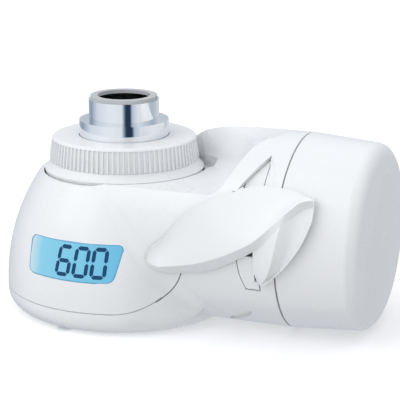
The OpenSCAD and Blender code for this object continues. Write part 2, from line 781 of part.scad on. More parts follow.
module cartridge_cap() {
    color([0.88, 0.9, 0.93]) difference() {
        union() {
            along_x(case_x0 + 0.2, case_x0 + 0.2 + cap_t, case_r - case_t);
            along_x(case_x0 + 0.2, case_x0 + well_depth + cap_t, well_r + cap_t);
        }
        difference() {
            along_x(case_x0 - 1, case_x0 + well_depth, well_r);
            along_x(case_x0 - 2, case_x0 + well_depth + 1, neck_out_r);
        }
        along_x(case_x0 - 3, case_x0 + 20, neck_out_r - 1.6);
    }
}

module cartridge_seal() {
    color([0.15, 0.15, 0.17]) translate([case_x0 + well_depth - 0.9, 0, drum_z])
        rotate([0, 90, 0]) difference() {
            cylinder(r = neck_out_r + 1.6, h = 0.9);
            translate([0, 0, -1]) cylinder(r = neck_out_r, h = 3);
        }
}

fibre_r = 11.6;
media_x0 = case_x0 + well_depth + cap_t + 0.1;
media_x1 = case_x1 - case_t;

module carbon_block() {
    color([0.15, 0.15, 0.16]) difference() {
        along_x(media_x0, media_x1, case_r - case_t - 1.2);
        along_x(media_x0 - 1, media_x1 + 1, fibre_r + 0.4);
    }
}

module fibre_bundle() {
    color([0.95, 0.95, 0.9]) along_x(media_x0, media_x1, fibre_r);
}

module outlet_ring() {
    color(white) difference() {
        cylinder_between(0.6, column_low_h, outlet_r);
        cylinder_between(0, column_low_h - 1.6, outlet_r - 2.4);
        cylinder_between(0, 10, outlet_chamber_r);
    }
}

nozzle_r = 4;

module spray_plate() {
    color([0.7, 0.72, 0.75]) difference() {
        cylinder_between(column_low_h - 3.2, column_low_h - 1.6, outlet_r - 2.4);
        cylinder_between(0, 10, nozzle_r + fit_gap);
        for (i = [0:spray_holes - 1]) rotate(i * 360 / spray_holes)
            translate([i % 2 == 0 ? 7 : 9.4, 0, 0]) cylinder(r = spray_hole_r, h = 10);
    }
}

module filtered_nozzle() {
    color(white) difference() {
        union() {
            cylinder_between(1.2, column_low_h + 6, nozzle_r);
            cylinder_between(column_low_h - 1.6, column_low_h - 0.4, outlet_chamber_r - 0.4);
        }
        cylinder_between(0, 20, nozzle_r - 1.2);
        for (i = [0:5]) rotate(i * 60) translate([7, 0, 0]) cylinder(r = 1.2, h = 10);
    }
}

module housing_screws() {
    color([0.6, 0.62, 0.65]) at_screws() {
        cylinder_between(floor_h, floor_h + screw_head_h, screw_head_r);
        cylinder_between(floor_h, seam_h + 8, screw_r);
    }
}

translate([0, 0, -shoulder_h]) {
    lower_housing();
    front_cover();
    display_window();
    display_panel();
    display_digits();
    circuit_board();
    coin_battery();
    valve_body();
    return_pipe();
    inlet_strainer();
    inlet_seal();
    union_nut();
    faucet_adapter();
    adapter_washer();
    flow_turbine();
    turbine_axle();
    valve_seal();
    lever();
    valve_rotor();
    socket_plate();
    cartridge_cover();
    cartridge_case();
    cartridge_cap();
    cartridge_seal();
    carbon_block();
    fibre_bundle();
    outlet_ring();
    spray_plate();
    filtered_nozzle();
    housing_screws();
}
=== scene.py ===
# Looks of the faucet mount water filter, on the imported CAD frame. Lengths are in metres.
import math

import bpy
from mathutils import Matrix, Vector


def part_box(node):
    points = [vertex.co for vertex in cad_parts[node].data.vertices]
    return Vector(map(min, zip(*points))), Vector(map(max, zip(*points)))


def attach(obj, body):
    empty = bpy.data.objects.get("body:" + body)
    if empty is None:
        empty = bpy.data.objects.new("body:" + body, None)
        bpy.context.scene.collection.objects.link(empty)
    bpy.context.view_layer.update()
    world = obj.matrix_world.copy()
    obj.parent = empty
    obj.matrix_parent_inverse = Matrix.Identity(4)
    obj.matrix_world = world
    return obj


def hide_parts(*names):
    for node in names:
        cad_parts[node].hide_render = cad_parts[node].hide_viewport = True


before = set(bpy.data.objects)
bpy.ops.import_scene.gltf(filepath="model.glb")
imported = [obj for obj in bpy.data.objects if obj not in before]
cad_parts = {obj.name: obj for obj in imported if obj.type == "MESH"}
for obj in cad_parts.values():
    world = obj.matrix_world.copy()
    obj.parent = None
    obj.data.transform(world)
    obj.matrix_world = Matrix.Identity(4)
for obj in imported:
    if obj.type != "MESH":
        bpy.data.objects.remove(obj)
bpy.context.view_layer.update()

# Height of the base above the frame's origin, which is the thread shoulder
BASE_Z = -0.065


def lowest_point():
    return min(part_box(name)[0][2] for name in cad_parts)


# Materials

def new_material(name, colour, roughness, **sockets):
    material = bpy.data.materials.new(name)
    material.use_nodes = True
    shader = material.node_tree.nodes["Principled BSDF"]
    shader.inputs["Base Color"].default_value = (*colour, 1)
    shader.inputs["Roughness"].default_value = roughness
    for socket, value in sockets.items():
        shader.inputs[socket.replace("_", " ")].default_value = value
    return material


def add_node(material, kind, **inputs):
    node = material.node_tree.nodes.new(kind)
    for name, value in inputs.items():
        node.inputs[name.replace("_", " ")].default_value = value
    return node


def shader_of(material):
    return material.node_tree.nodes["Principled BSDF"]


def link(material, out_socket, in_socket):
    material.node_tree.links.new(out_socket, in_socket)


def vary_colour(material, low, high, scale):
    """Soft cloudy change of the base colour between two tones."""
    coordinates = add_node(material, "ShaderNodeTexCoord")
    noise = add_node(material, "ShaderNodeTexNoise", Scale=scale, Detail=3.0)
    ramp = add_node(material, "ShaderNodeValToRGB")
    ramp.color_ramp.elements[0].position = 0.35
    ramp.color_ramp.elements[0].color = (*low, 1)
    ramp.color_ramp.elements[1].position = 0.65
    ramp.color_ramp.elements[1].color = (*high, 1)
    link(material, coordinates.outputs["Object"], noise.inputs["Vector"])
    link(material, noise.outputs["Fac"], ramp.inputs["Fac"])
    link(material, ramp.outputs["Color"], shader_of(material).inputs["Base Color"])


def vary_roughness(material, low, high, scale):
    """Fine change of roughness, as moulded plastic has."""
    coordinates = add_node(material, "ShaderNodeTexCoord")
    noise = add_node(material, "ShaderNodeTexNoise", Scale=scale, Detail=4.0)
    spread = add_node(material, "ShaderNodeMapRange", From_Min=0.3, From_Max=0.7,
                      To_Min=low, To_Max=high)
    link(material, coordinates.outputs["Object"], noise.inputs["Vector"])
    link(material, noise.outputs["Fac"], spread.inputs["Value"])
    link(material, spread.outputs["Result"], shader_of(material).inputs["Roughness"])


def grain(material, scale, strength, distance):
    """Fine bump over the whole surface."""
    coordinates = add_node(material, "ShaderNodeTexCoord")
    noise = add_node(material, "ShaderNodeTexNoise", Scale=scale, Detail=2.0)
    bump = add_node(material, "ShaderNodeBump", Strength=strength, Distance=distance)
    link(material, coordinates.outputs["Object"], noise.inputs["Vector"])
    link(material, noise.outputs["Fac"], bump.inputs["Height"])
    link(material, bump.outputs["Normal"], shader_of(material).inputs["Normal"])


def plastic(name, low, high, roughness, coat):
    material = new_material(name, high, roughness, IOR=1.5, Coat_Weight=coat,
                            Coat_Roughness=0.12)
    vary_colour(material, low, high, 18.0)
    vary_roughness(material, roughness - 0.02, roughness + 0.02, 40.0)
    return material


white = plastic("white_plastic", (0.843, 0.853, 0.862), (0.85, 0.86, 0.868), 0.28, 0.35)
white_satin = plastic("white_satin_plastic", (0.828, 0.838, 0.846), (0.835, 0.845, 0.852), 0.4, 0.12)
pale_plastic = plastic("pale_plastic", (0.60, 0.62, 0.64), (0.66, 0.68, 0.70), 0.4, 0.0)

chrome = new_material("chrome", (0.86, 0.88, 0.90), 0.06, Metallic=1.0)
vary_roughness(chrome, 0.05, 0.09, 90.0)
steel = new_material("brushed_steel", (0.62, 0.63, 0.65), 0.3, Metallic=1.0)
vary_roughness(steel, 0.24, 0.4, 700.0)
rubber = new_material("black_rubber", (0.03, 0.03, 0.032), 0.65)
grain(rubber, 1800.0, 0.25, 0.0001)
vary_colour(rubber, (0.022, 0.022, 0.024), (0.036, 0.036, 0.038), 60.0)
pale_rubber = new_material("pale_rubber", (0.52, 0.53, 0.54), 0.6)
grain(pale_rubber, 1800.0, 0.2, 0.0001)
vary_colour(pale_rubber, (0.49, 0.50, 0.51), (0.55, 0.56, 0.57), 60.0)
board = new_material("circuit_board_green", (0.03, 0.16, 0.08), 0.4)
vary_colour(board, (0.02, 0.12, 0.06), (0.035, 0.18, 0.09), 120.0)
blue_plastic = new_material("blue_plastic", (0.05, 0.22, 0.42), 0.35)
vary_colour(blue_plastic, (0.045, 0.20, 0.38), (0.06, 0.25, 0.46), 50.0)
carbon = new_material("carbon_grains", (0.03, 0.03, 0.03), 0.85)
vary_colour(carbon, (0.015, 0.015, 0.016), (0.06, 0.06, 0.062), 900.0)
grain(carbon, 1400.0, 0.6, 0.0003)
fibre = new_material("hollow_fibre", (0.8, 0.8, 0.76), 0.7)
vary_colour(fibre, (0.7, 0.7, 0.66), (0.86, 0.86, 0.82), 600.0)
grain(fibre, 1500.0, 0.4, 0.0002)

ink = new_material("display_ink", (0.003, 0.02, 0.05), 0.6, Specular_IOR_Level=0.15,
                   Emission_Color=(0.006, 0.045, 0.12, 1.0), Emission_Strength=1.0)
vary_colour(ink, (0.002, 0.018, 0.045), (0.004, 0.022, 0.055), 200.0)
seam_shade = new_material("seam_shade", (0.16, 0.17, 0.18), 0.8)
vary_colour(seam_shade, (0.13, 0.14, 0.15), (0.19, 0.20, 0.21), 300.0)
mark_grey = new_material("mark_grey", (0.20, 0.21, 0.22), 0.5)
vary_colour(mark_grey, (0.18, 0.19, 0.20), (0.23, 0.24, 0.25), 200.0)


def painted_highlight_panel(name, coat):
    """Glowing blue display with a painted highlight: palest at its left edge, where the curved glass
    catches the light.
    """
    material = new_material(name, (0.0, 0.0, 0.0), 0.25, Emission_Strength=0.62,
                            Coat_Weight=coat, Coat_Roughness=0.05)
    coordinates = add_node(material, "ShaderNodeTexCoord")
    axes = add_node(material, "ShaderNodeSeparateXYZ")
    noise = add_node(material, "ShaderNodeTexNoise", Scale=120.0, Detail=1.0)
    sway = add_node(material, "ShaderNodeMapRange", To_Min=-0.001, To_Max=0.001)
    move = add_node(material, "ShaderNodeMath")
    place = add_node(material, "ShaderNodeMapRange", From_Min=-0.0198, From_Max=0.0155)
    ramp = add_node(material, "ShaderNodeValToRGB")
    # Colour from left to right across the display: the pale first stops are a painted highlight of
    # the glass's curved left edge
    painted_highlight_tones = [(0.0, (0.72, 0.82, 0.87)), (0.07, (0.52, 0.76, 0.86)), (0.17, (0.24, 0.66, 0.88)),
             (0.6, (0.19, 0.61, 0.85)), (1.0, (0.14, 0.53, 0.82))]
    stops = ramp.color_ramp.elements
    while len(stops) < len(painted_highlight_tones):
        stops.new(0.5)
    for stop, (position, colour) in zip(stops, painted_highlight_tones):
        stop.position = position
        stop.color = (*colour, 1)
    link(material, coordinates.outputs["Object"], axes.inputs["Vector"])
    link(material, coordinates.outputs["Object"], noise.inputs["Vector"])
    link(material, noise.outputs["Fac"], sway.inputs["Value"])
    link(material, axes.outputs["X"], move.inputs[0])
    link(material, sway.outputs["Result"], move.inputs[1])
    link(material, move.outputs["Value"], place.inputs["Value"])
    link(material, place.outputs["Result"], ramp.inputs["Fac"])
    base = shader_of(material).inputs
    link(material, ramp.outputs["Color"], base["Emission Color"])
    shade = add_node(material, "ShaderNodeMix")
    shade.data_type = "RGBA"
    shade.inputs["Factor"].default_value = 0.7
    shade.inputs["B"].default_value = (0.0, 0.0, 0.0, 1.0)
    link(material, ramp.outputs["Color"], shade.inputs[6])
    link(material, shade.outputs[2], base["Base Color"])
    return material


# Display panel and glass, both with the painted highlight at their left edge
panel = painted_highlight_panel("painted_highlight_panel", 0.0)
lens = painted_highlight_panel("painted_highlight_window", 0.6)

rim_blue = new_material("rim_blue", (0.05, 0.20, 0.34), 0.35, Emission_Strength=0.45,
                        Emission_Color=(0.10, 0.36, 0.58, 1.0), Coat_Weight=0.5)
vary_colour(rim_blue, (0.045, 0.19, 0.32), (0.055, 0.21, 0.36), 120.0)

FINISH = {
    "lower_housing": white,
    "front_cover": white,
    "display_window": lens,
    "display_panel": panel,
    "display_digits": ink,
    "circuit_board": board,
    "coin_battery": steel,
    "valve_body": pale_plastic,
    "return_pipe": pale_plastic,
    "inlet_strainer": steel,
    "inlet_seal": rubber,
    "union_nut": white_satin,
    "faucet_adapter": chrome,
    "adapter_washer": pale_rubber,
    "flow_turbine": blue_plastic,
    "turbine_axle": steel,
    "valve_seal": rubber,
    "lever": white,
    "valve_rotor": white_satin,
    "socket_plate": white_satin,
    "cartridge_cover": white,
    "cartridge_case": pale_plastic,
    "cartridge_cap": pale_plastic,
    "cartridge_seal": rubber,
    "carbon_block": carbon,
    "fibre_bundle": fibre,
    "outlet_ring": white_satin,
    "spray_plate": steel,
    "filtered_nozzle": pale_plastic,
    "housing_screws": steel,
}

for name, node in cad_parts.items():
    node.data.materials.clear()
    node.data.materials.append(FINISH[name])


# Pieces that carry on the housing's form. Lengths in millimetres above the base.

HEAD_R = 41.0
HEAD_WINDOW_R = 39.0
HEAD_BELLY_H = 9.0
HEAD_ARC_R = 68.0
HEAD_TOP_H = 47.6
FOOT_ROUND = 7.0
DRUM_R = 32.5
SEAM_H = 8.0
SEAM_ARC_X = 12.5
SEAM_ARC_R = 23.0
COVER_END_X = 92.9
LIFT = 0.03


def head_side_r(z):
    """Radius of the head at a height."""
    if z < FOOT_ROUND:
        return HEAD_R - FOOT_ROUND + math.sqrt(FOOT_ROUND ** 2 - (FOOT_ROUND - z) ** 2)
    return HEAD_R - HEAD_ARC_R + math.sqrt(HEAD_ARC_R ** 2 - (z - HEAD_BELLY_H) ** 2)


def drum_half_width(z):
    return math.sqrt(max(DRUM_R ** 2 - (z - DRUM_R) ** 2, 0.0))


def between(table, key):
    """Straight steps through a list of key and value."""
    for (k0, v0), (k1, v1) in zip(table, table[1:]):
        if key <= k1:
            return v0 + (v1 - v0) * (key - k0) / (k1 - k0)
    return table[-1][1]


def mesh_piece(name, points, faces, material, body):
    mesh = bpy.data.meshes.new(name)
    mesh.from_pydata([(x / 1000, y / 1000, z / 1000 + BASE_Z) for x, y, z in points], [], faces)
    mesh.update()
    for polygon in mesh.polygons:
        polygon.use_smooth = True
    piece = bpy.data.objects.new(name, mesh)
    bpy.context.scene.collection.objects.link(piece)
    mesh.materials.append(material)
    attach(piece, body)
    return piece


def grid_faces(columns, rows):
    """Quads over points laid out row by row."""
    return [(r * columns + c, r * columns + c + 1, (r + 1) * columns + c + 1, (r + 1) * columns + c)
            for r in range(rows - 1) for c in range(columns - 1)]


def ring_faces(around, rings):
    """Quads between closed rings of points."""
    faces = []
    for ring in range(rings - 1):
        for k in range(around):
            a = ring * around + k
            b = ring * around + (k + 1) % around
            faces.append((a, a + around, b + around, b))
    return faces


BLEND_R = 18.0
# Height of the blend's lower edge across it, from the head to the drum
ARCH = [(0.0, 3.2), (0.3, 5.2), (0.6, 8.0), (0.82, 9.6), (0.93, 9.2), (1.0, 7.4)]


def blend_point(share, z, side, sink=0.0):
    """Point of the hollow between head and drum, share 0 at the head and 1 at the drum."""
    r = head_side_r(z)
    w = drum_half_width(z)
    centre_y = w + BLEND_R
    centre_x = math.sqrt(max((r + BLEND_R) ** 2 - centre_y ** 2, 0.01))
    start = math.atan2(-centre_y, -centre_x)
    angle = start + (-math.pi / 2 - start) * share
    rho = BLEND_R - LIFT + sink
    return (centre_x + rho * math.cos(angle), side * (centre_y + rho * math.sin(angle)), z)


def housing_blend(name, side):
    """Hollow blend between head and drum on one side, with a rounded arch as its lower edge."""
    columns = 29
    rows = 40
    points = []
    shares = [c / (columns - 1) for c in range(columns)]
    for step in (3, 2, 1):
        turn = math.radians(30 * step)
        for share in shares:
            low = between(ARCH, share)
            depth = 0.9 * (1 - math.cos(turn)) * min(1.0, 6 * share, 6 * (1 - share))
            points.append(blend_point(share, low - 0.9 * math.sin(turn) + 0.9, side, depth))
    for row in range(rows):
        for share in shares:
            low = between(ARCH, share) + 0.9
            points.append(blend_point(share, low + (HEAD_TOP_H - low) * row / (rows - 1), side))
    faces = grid_faces(columns, rows + 3)
    if side > 0:
        faces = [face[::-1] for face in faces]
    return mesh_piece(name, points, faces, white, "housing")


def side_surface_y(x, z):
    """How far the housing's side stands from the middle plane: head, blend or drum."""
    r = head_side_r(z)
    w = drum_half_width(z)
    centre_y = w + BLEND_R
    centre_x = math.sqrt((r + BLEND_R) ** 2 - centre_y ** 2)
    if x <= centre_x * r / (r + BLEND_R):
        return math.sqrt(r ** 2 - x ** 2)
    if x >= centre_x:
        return w
    return centre_y - math.sqrt(BLEND_R ** 2 - (x - centre_x) ** 2)


def seam_x(z):
    """Place of the seam between front cover and housing along the drum."""
    middle_h = SEAM_H + SEAM_ARC_R
    return SEAM_ARC_X + math.sqrt(SEAM_ARC_R ** 2 - min(z - middle_h, -4.0) ** 2)


def seam_line(name, side):
    """The seam's shadow line where it crosses the blend and the drum."""
    half = 0.16
    heights = [12.0 + 0.5 * step for step in range(35)]
    points = []
    for z in heights:
        lean = (seam_x(z + 0.1) - seam_x(z - 0.1)) / 0.2
        scale = half / math.hypot(1, lean)
        for way in (-1, 1):
            x = seam_x(z) + way * scale
            height = z - way * scale * lean
            points.append((x, side * (side_surface_y(x, height) + LIFT + 0.03), height))
    faces = grid_faces(2, len(heights))
    if side > 0:
        faces = [face[::-1] for face in faces]
    return mesh_piece(name, points, faces, seam_shade, "housing")


def gate_mark():
    """Shallow mark that the mould leaves in the middle of the cartridge cover's face."""
    profile = [(0.0, 0.16), (0.7, 0.15), (1.15, 0.05), (1.35, 0.16), (1.6, 0.24), (1.85, 0.16),
               (2.1, -0.05)]
    around = 36
    points = []
    for r, height in profile:
        for step in range(around + 1):
            turn = 2 * math.pi * step / around
            points.append((COVER_END_X + height, r * math.cos(turn), DRUM_R + r * math.sin(turn)))
    return mesh_piece("gate_mark", points, grid_faces(around + 1, len(profile)), white, "cover")


def drum_surface(x, along, angle):
    """Point just over the drum, from a place along it and along its curve."""
    turn = math.radians(angle) + along / DRUM_R
    r = DRUM_R + 0.02
    return (x, -r * math.cos(turn), DRUM_R + r * math.sin(turn))


def position_mark():
    """Three short bars in a fan beside the slot, for the lever's raised position."""
    points = []
    faces = []
    for lean in (-28, 0, 28):
        turn = math.radians(lean)
        for step in range(5):
            reach = 0.5 + 0.3 * step
            for way in (-1, 1):
                width = 0.17 * (1 - 0.12 * step)
                across = reach * math.sin(turn) + way * width * math.cos(turn)
                down = -reach * math.cos(turn) + way * width * math.sin(turn)
                points.append(drum_surface(50.6 + across, down + 1.0, 33.0))
        first = len(points) - 10
        faces += [tuple(first + corner for corner in face) for face in grid_faces(2, 5)]
    return mesh_piece("position_mark", points, faces, mark_grey, "housing")


# Corners of the display glass: length round the head, height, rounding
GLASS = [(-20.2, 31.1, 2.2), (-19.0, 18.35, 2.6), (12.7, 18.35, 3.4), (16.9, 31.0, 1.6)]
GLASS_RIM = 0.4
GLASS_LIFT = 0.05
GLASS_CENTRE = Vector((-2.4, 24.8))
GLASS_RINGS = 14
GLASS_CORNER_STEPS = 12
GLASS_STEP = 1.2
FIGURE_LOW_H = 20.4
FIGURE_H = 8.9
FIGURE_W = 4.25
FIGURE_PITCH = 6.2
FIGURE_FIRST = -6.75
FIGURE_STROKE = 1.3
FIGURE_LEAN = 0.12
FIGURE_GAP = 0.14
SEGMENTS = {"top": (0, 2, "across"), "middle": (0, 1, "across"), "bottom": (0, 0, "across"),
            "low_left": (0, 0, "up"), "high_left": (0, 1, "up"), "low_right": (1, 0, "up"),
            "high_right": (1, 1, "up")}
SIX = ("top", "middle", "bottom", "low_left", "high_left", "low_right")
ZERO = ("top", "bottom", "low_left", "high_left", "low_right", "high_right")


def on_head(along, z, lift):
    """Point over the head's surface, from a length round it and a height."""
    r = head_side_r(z) + lift
    turn = along / HEAD_WINDOW_R
    return (r * math.sin(turn), -r * math.cos(turn), z)


def on_window(along, height):
    """Point of a figure on the glass."""
    z = FIGURE_LOW_H + height
    return on_head(FIGURE_FIRST + along + FIGURE_LEAN * height, z, GLASS_LIFT + 0.03)


def glass_outline(inset):
    """Rounded outline of the display glass, drawn in by an inset."""
    outline = []
    for index, (along, z, rounding) in enumerate(GLASS):
        corner = Vector((along, z))
        before = (Vector(GLASS[index - 1][:2]) - corner).normalized()
        after = (Vector(GLASS[(index + 1) % len(GLASS)][:2]) - corner).normalized()
        half = before.angle(after) / 2
        middle = (before + after).normalized()
        centre = corner + middle * rounding / math.sin(half)
        start = (corner + before * rounding / math.tan(half) - centre).normalized()
        end = (corner + after * rounding / math.tan(half) - centre).normalized()
        for step in range(GLASS_CORNER_STEPS + 1):
            direction = start.slerp(end, step / GLASS_CORNER_STEPS)
            outline.append(centre + direction * (rounding - inset))
    spread = []
    for index, point in enumerate(outline):
        following = outline[(index + 1) % len(outline)]
        parts = max(1, round((following - point).length / GLASS_STEP))
        spread += [point.lerp(following, part / parts) for part in range(parts)]
    return spread


def display_glass():
    """Blue glass over the window opening, crowned with the head, and its darker rim."""
    inner = glass_outline(GLASS_RIM)
    around = len(inner)
    points = []
    for ring in range(GLASS_RINGS + 1):
        for point in inner:
            place = GLASS_CENTRE.lerp(point, ring / GLASS_RINGS)
            points.append(on_head(place.x, place.y, GLASS_LIFT))
    faces = ring_faces(around, GLASS_RINGS + 1)
    glass = mesh_piece("display_glass", points, faces, lens, "housing")
    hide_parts("display_window")
    points = []
    steps = ((GLASS_RIM, GLASS_LIFT), (GLASS_RIM / 2, GLASS_LIFT + 0.02),
             (0.0, GLASS_LIFT - 0.01), (-0.02, -0.1))
    for inset, lift in steps:
        for point in inner:
            direction = (point - GLASS_CENTRE).normalized()
            place = point + direction * (GLASS_RIM - inset)
            points.append(on_head(place.x, place.y, lift))
    faces = ring_faces(around, len(steps))
    mesh_piece("display_rim", points, faces, rim_blue, "housing")


def display_figures():
    """Seven-segment figures that follow the curve of the window."""
    half = FIGURE_STROKE / 2
    points = []
    faces = []
    for place, figure in enumerate((SIX, ZERO, ZERO)):
        for segment in figure:
            right, level, way = SEGMENTS[segment]
            start_x = place * FIGURE_PITCH + right * FIGURE_W
            start_z = level * FIGURE_H / 2
            length = FIGURE_W if way == "across" else FIGURE_H / 2
            stations = [(FIGURE_GAP, 0.0), (FIGURE_GAP + half, half)]
            stations += [(length * share, half) for share in (0.35, 0.5, 0.65)]
            stations += [(length - FIGURE_GAP - half, half), (length - FIGURE_GAP, 0.0)]
            first = len(points)
            for reach, width in stations:
                for side in (-width, width):
                    along, height = (reach, side) if way == "across" else (-side, reach)
                    points.append(on_window(start_x + along, start_z + height))
            faces += [tuple(first + corner for corner in face)
                      for face in grid_faces(2, len(stations))]
    faces = [face[::-1] for face in faces]
    return mesh_piece("display_figures", points, faces, ink, "housing")


# Lever. Angles are in degrees from the front of the drum, upwards.
SLOT_X1 = 60.9
WING_IN_R = DRUM_R + 1.1
WING_T = 1.3
WING_EDGE_T = 3.4
WING_DISH = 0.7
WING_TIP_X = HEAD_R - 18.6
WING_END_X = SLOT_X1 + 18.05
WEB_X = SLOT_X1 - 1.5
WING_UPPER = [(0, -8.6), (0.03, -4), (0.12, 4), (0.225, 16.4), (0.332, 24.6), (0.493, 31.4),
              (0.636, 36.6), (0.814, 36.6), (0.93, 34.4), (1, 32.6)]
WING_LOWER = [(0, -9.6), (0.03, -10.8), (0.12, -10.4), (0.305, -7.2), (0.428, -3.5), (0.548, 1.3),
              (0.664, 7.3), (0.773, 16.1), (0.875, 25.6), (0.925, 29.5), (1, 31.8)]
WING_BEVEL = [(0, 3), (0.03, 4.5), (0.12, 6.7), (0.25, 7.1), (0.4, 7.4), (0.56, 5.8), (0.76, 4.5),
              (0.87, 3.6), (1, 2.4)]
WEB_LEFT = [(-19, 2.2), (-17.4, 1.8), (-15.2, 1.1), (-11.1, 0.4), (-8.3, 0), (0, 0), (32, 0)]
WEB_RIDGE = [(-19, 2.4), (-14.1, 3.8), (-9.9, 5.3), (-2.6, 7.1), (6.1, 8.3), (14.6, 9.2),
             (32, 12.6)]
WEB_RIGHT = [(-19, 2.6), (-17, 3.4), (-11.5, 7.1), (-2.5, 11.9), (9, 16.2), (19.8, 18.5),
             (25.2, 19.1), (32, 19.5)]
WEB_RISE = [(-19, 0.6), (-14, 1.7), (-10, 2.4), (0, 3.4), (10, 3.4), (18, 3), (25, 2), (32, 1)]
WEB_LOW = [(0, -8.3), (0.4, -11.1), (1.1, -15.2), (1.8, -17.4), (2.5, -18.6), (3.4, -17.4),
           (7.1, -11.5), (11.9, -2.5), (16.2, 9), (18.5, 19.8), (19.1, 25.2), (19.5, 29.5)]


def smooth(table, key):
    """Smooth curve through a list of key and value."""
    last = len(table) - 1
    i = 0
    while i < last - 1 and key >= table[i + 1][0]:
        i += 1

    def slope(k):
        a, b = max(k - 1, 0), min(k + 1, last)
        return (table[b][1] - table[a][1]) / (table[b][0] - table[a][0])

    (x0, y0), (x1, y1) = table[i], table[i + 1]
    h = x1 - x0
    t = min(1.0, max(0.0, (key - x0) / h))
    return (y0 * (1 + 2 * t) * (1 - t) ** 2 + slope(i) * h * t * (1 - t) ** 2
            + y1 * t * t * (3 - 2 * t) + slope(i + 1) * h * t * t * (t - 1))


def round_drum(x, r, angle):
    turn = math.radians(angle)
    return (x, -r * math.cos(turn), DRUM_R + r * math.sin(turn))


def web_height(reach, angle):
    """Height of the web over the wing's inner face: a ridge, a hollow and a raised rim."""
    left, ridge = smooth(WEB_LEFT, angle), smooth(WEB_RIDGE, angle)
    right, rise = smooth(WEB_RIGHT, angle), smooth(WEB_RISE, angle)
    rim = min(1.1, rise)
    brink = right - 0.8 * rim
    if reach <= ridge:
        return 0.2 + (rise - 0.2) * max(0.0, (reach - left) / (ridge - left))
    if reach > brink:
        return 0.95 * rim
    return 0.3 * rim + (rise - 0.3 * rim) * ((brink - reach) / (brink - ridge)) ** 2.2


TOP_STEPS = 28
BEVEL_STEPS = 12
WEB_STEPS = 30
BACK_STEPS = 8


def grip_ring(x):
    """Section of wing and web across the drum, with the same number of points everywhere."""
    t = (x - WING_TIP_X) / (WING_END_X - WING_TIP_X)
    reach = x - WEB_X
    upper, lower = smooth(WING_UPPER, t), smooth(WING_LOWER, t)
    low = lower - smooth(WING_BEVEL, t)
    grow = min(1.0, 0.1 + t * 9)
    edge_r = WING_IN_R + WING_EDGE_T * grow * min(1.0, 0.55 + (1 - t) * 5)
    upper_r = WING_IN_R + WING_T
    webbed = reach > 0
    foot = min(low - 0.3, smooth(WEB_LOW, reach)) if webbed else low
    join_r = WING_IN_R + (max(0.1, web_height(reach, low)) if webbed else 0.1)
    ring = []
    for step in range(TOP_STEPS + 1):
        q = step / TOP_STEPS
        r = upper_r + (edge_r - upper_r) * q ** 1.5 - WING_DISH * grow * math.sin(math.pi * q)
        ring.append(round_drum(x, r, upper + (lower - upper) * q))
    for step in range(1, BEVEL_STEPS + 1):
        q = step / BEVEL_STEPS
        ring.append(round_drum(x, edge_r + (join_r - edge_r) * q, lower + (low - lower) * q))
    for step in range(1, WEB_STEPS + 1):
        angle = low + (foot - low) * step / WEB_STEPS
        height = max(0.1, web_height(reach, angle)) if webbed else 0.1
        ring.append(round_drum(x, WING_IN_R + height, angle))
    for step in range(BACK_STEPS + 1):
        q = step / BACK_STEPS
        ring.append(round_drum(x, WING_IN_R, foot + (upper + 0.6 - foot) * q))
    return ring


def lever_skin():
    """Finely drawn wing and web, with the pad and root carried over from the CAD lever."""
    stations = [0.0, 0.15, 0.4, 0.8, 1.3, 2.0, 3.0]
    stations += [3.0 + (WEB_X - 0.02 - WING_TIP_X - 3.0) * step / 44 for step in range(1, 45)]
    rings = [grip_ring(WING_TIP_X + place) for place in stations]
    web_stations = [0.02, 0.2, 0.4, 0.7, 1.1, 1.45, 1.8, 2.15, 2.5, 2.95, 3.4]
    web_stations += [3.4 + 0.5 * step for step in range(1, 30)]
    web_stations += [18.1, 18.3, 18.5, 18.7]
    rings += [grip_ring(WEB_X + place) for place in sorted(web_stations)]
    around = len(rings[0])
    points = [point for ring in rings for point in ring]
    faces = ring_faces(around, len(rings))
    faces.append(tuple(range(around)))
    faces.append(tuple(reversed(range(len(points) - around, len(points)))))
    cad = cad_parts["lever"].data
    number = {}
    for polygon in cad.polygons:
        corners = [cad.vertices[index].co * 1000 for index in polygon.vertices]
        reach = [math.hypot(c.y, c.z - BASE_Z * 1000 - DRUM_R) for c in corners]
        if min(reach) > WING_IN_R - 0.05:
            continue
        face = []
        for index, corner in zip(polygon.vertices, corners):
            if index not in number:
                number[index] = len(points)
                points.append((corner.x, corner.y, corner.z - BASE_Z * 1000))
            face.append(number[index])
        faces.append(tuple(face))
    piece = mesh_piece("lever_skin", points, faces, white, "lever")
    piece.data.set_sharp_from_angle(angle=math.radians(24))
    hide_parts("lever")


housing_blend("blend_front", -1)
housing_blend("blend_back", 1)
seam_line("seam_front", -1)
seam_line("seam_back", 1)
gate_mark()
position_mark()
display_glass()
display_figures()
lever_skin()


# Floor, light and camera

def stage_floor():
    mesh = bpy.data.meshes.new("floor")
    size = 3.0
    z = lowest_point()
    mesh.from_pydata([(-size, -size, z), (size, -size, z), (size, size, z), (-size, size, z)],
                     [], [(0, 1, 2, 3)])
    floor = bpy.data.objects.new("floor", mesh)
    bpy.context.scene.collection.objects.link(floor)
    material = new_material("floor_paper", (0.93, 0.935, 0.94), 0.75, Emission_Strength=0.16,
                            Emission_Color=(1.0, 1.0, 1.0, 1.0))
    vary_colour(material, (0.925, 0.93, 0.935), (0.935, 0.94, 0.945), 3.0)
    mesh.materials.append(material)
    floor.visible_glossy = False
    floor.visible_diffuse = False


def area_light(name, place, target, size, power, colour):
    data = bpy.data.lights.new(name, "AREA")
    data.shape = "RECTANGLE"
    data.size = size[0]
    data.size_y = size[1]
    data.energy = power
    data.color = colour
    light = bpy.data.objects.new(name, data)
    light.location = place
    light.rotation_euler = (Vector(target) - Vector(place)).to_track_quat("-Z", "Y").to_euler()
    bpy.context.scene.collection.objects.link(light)


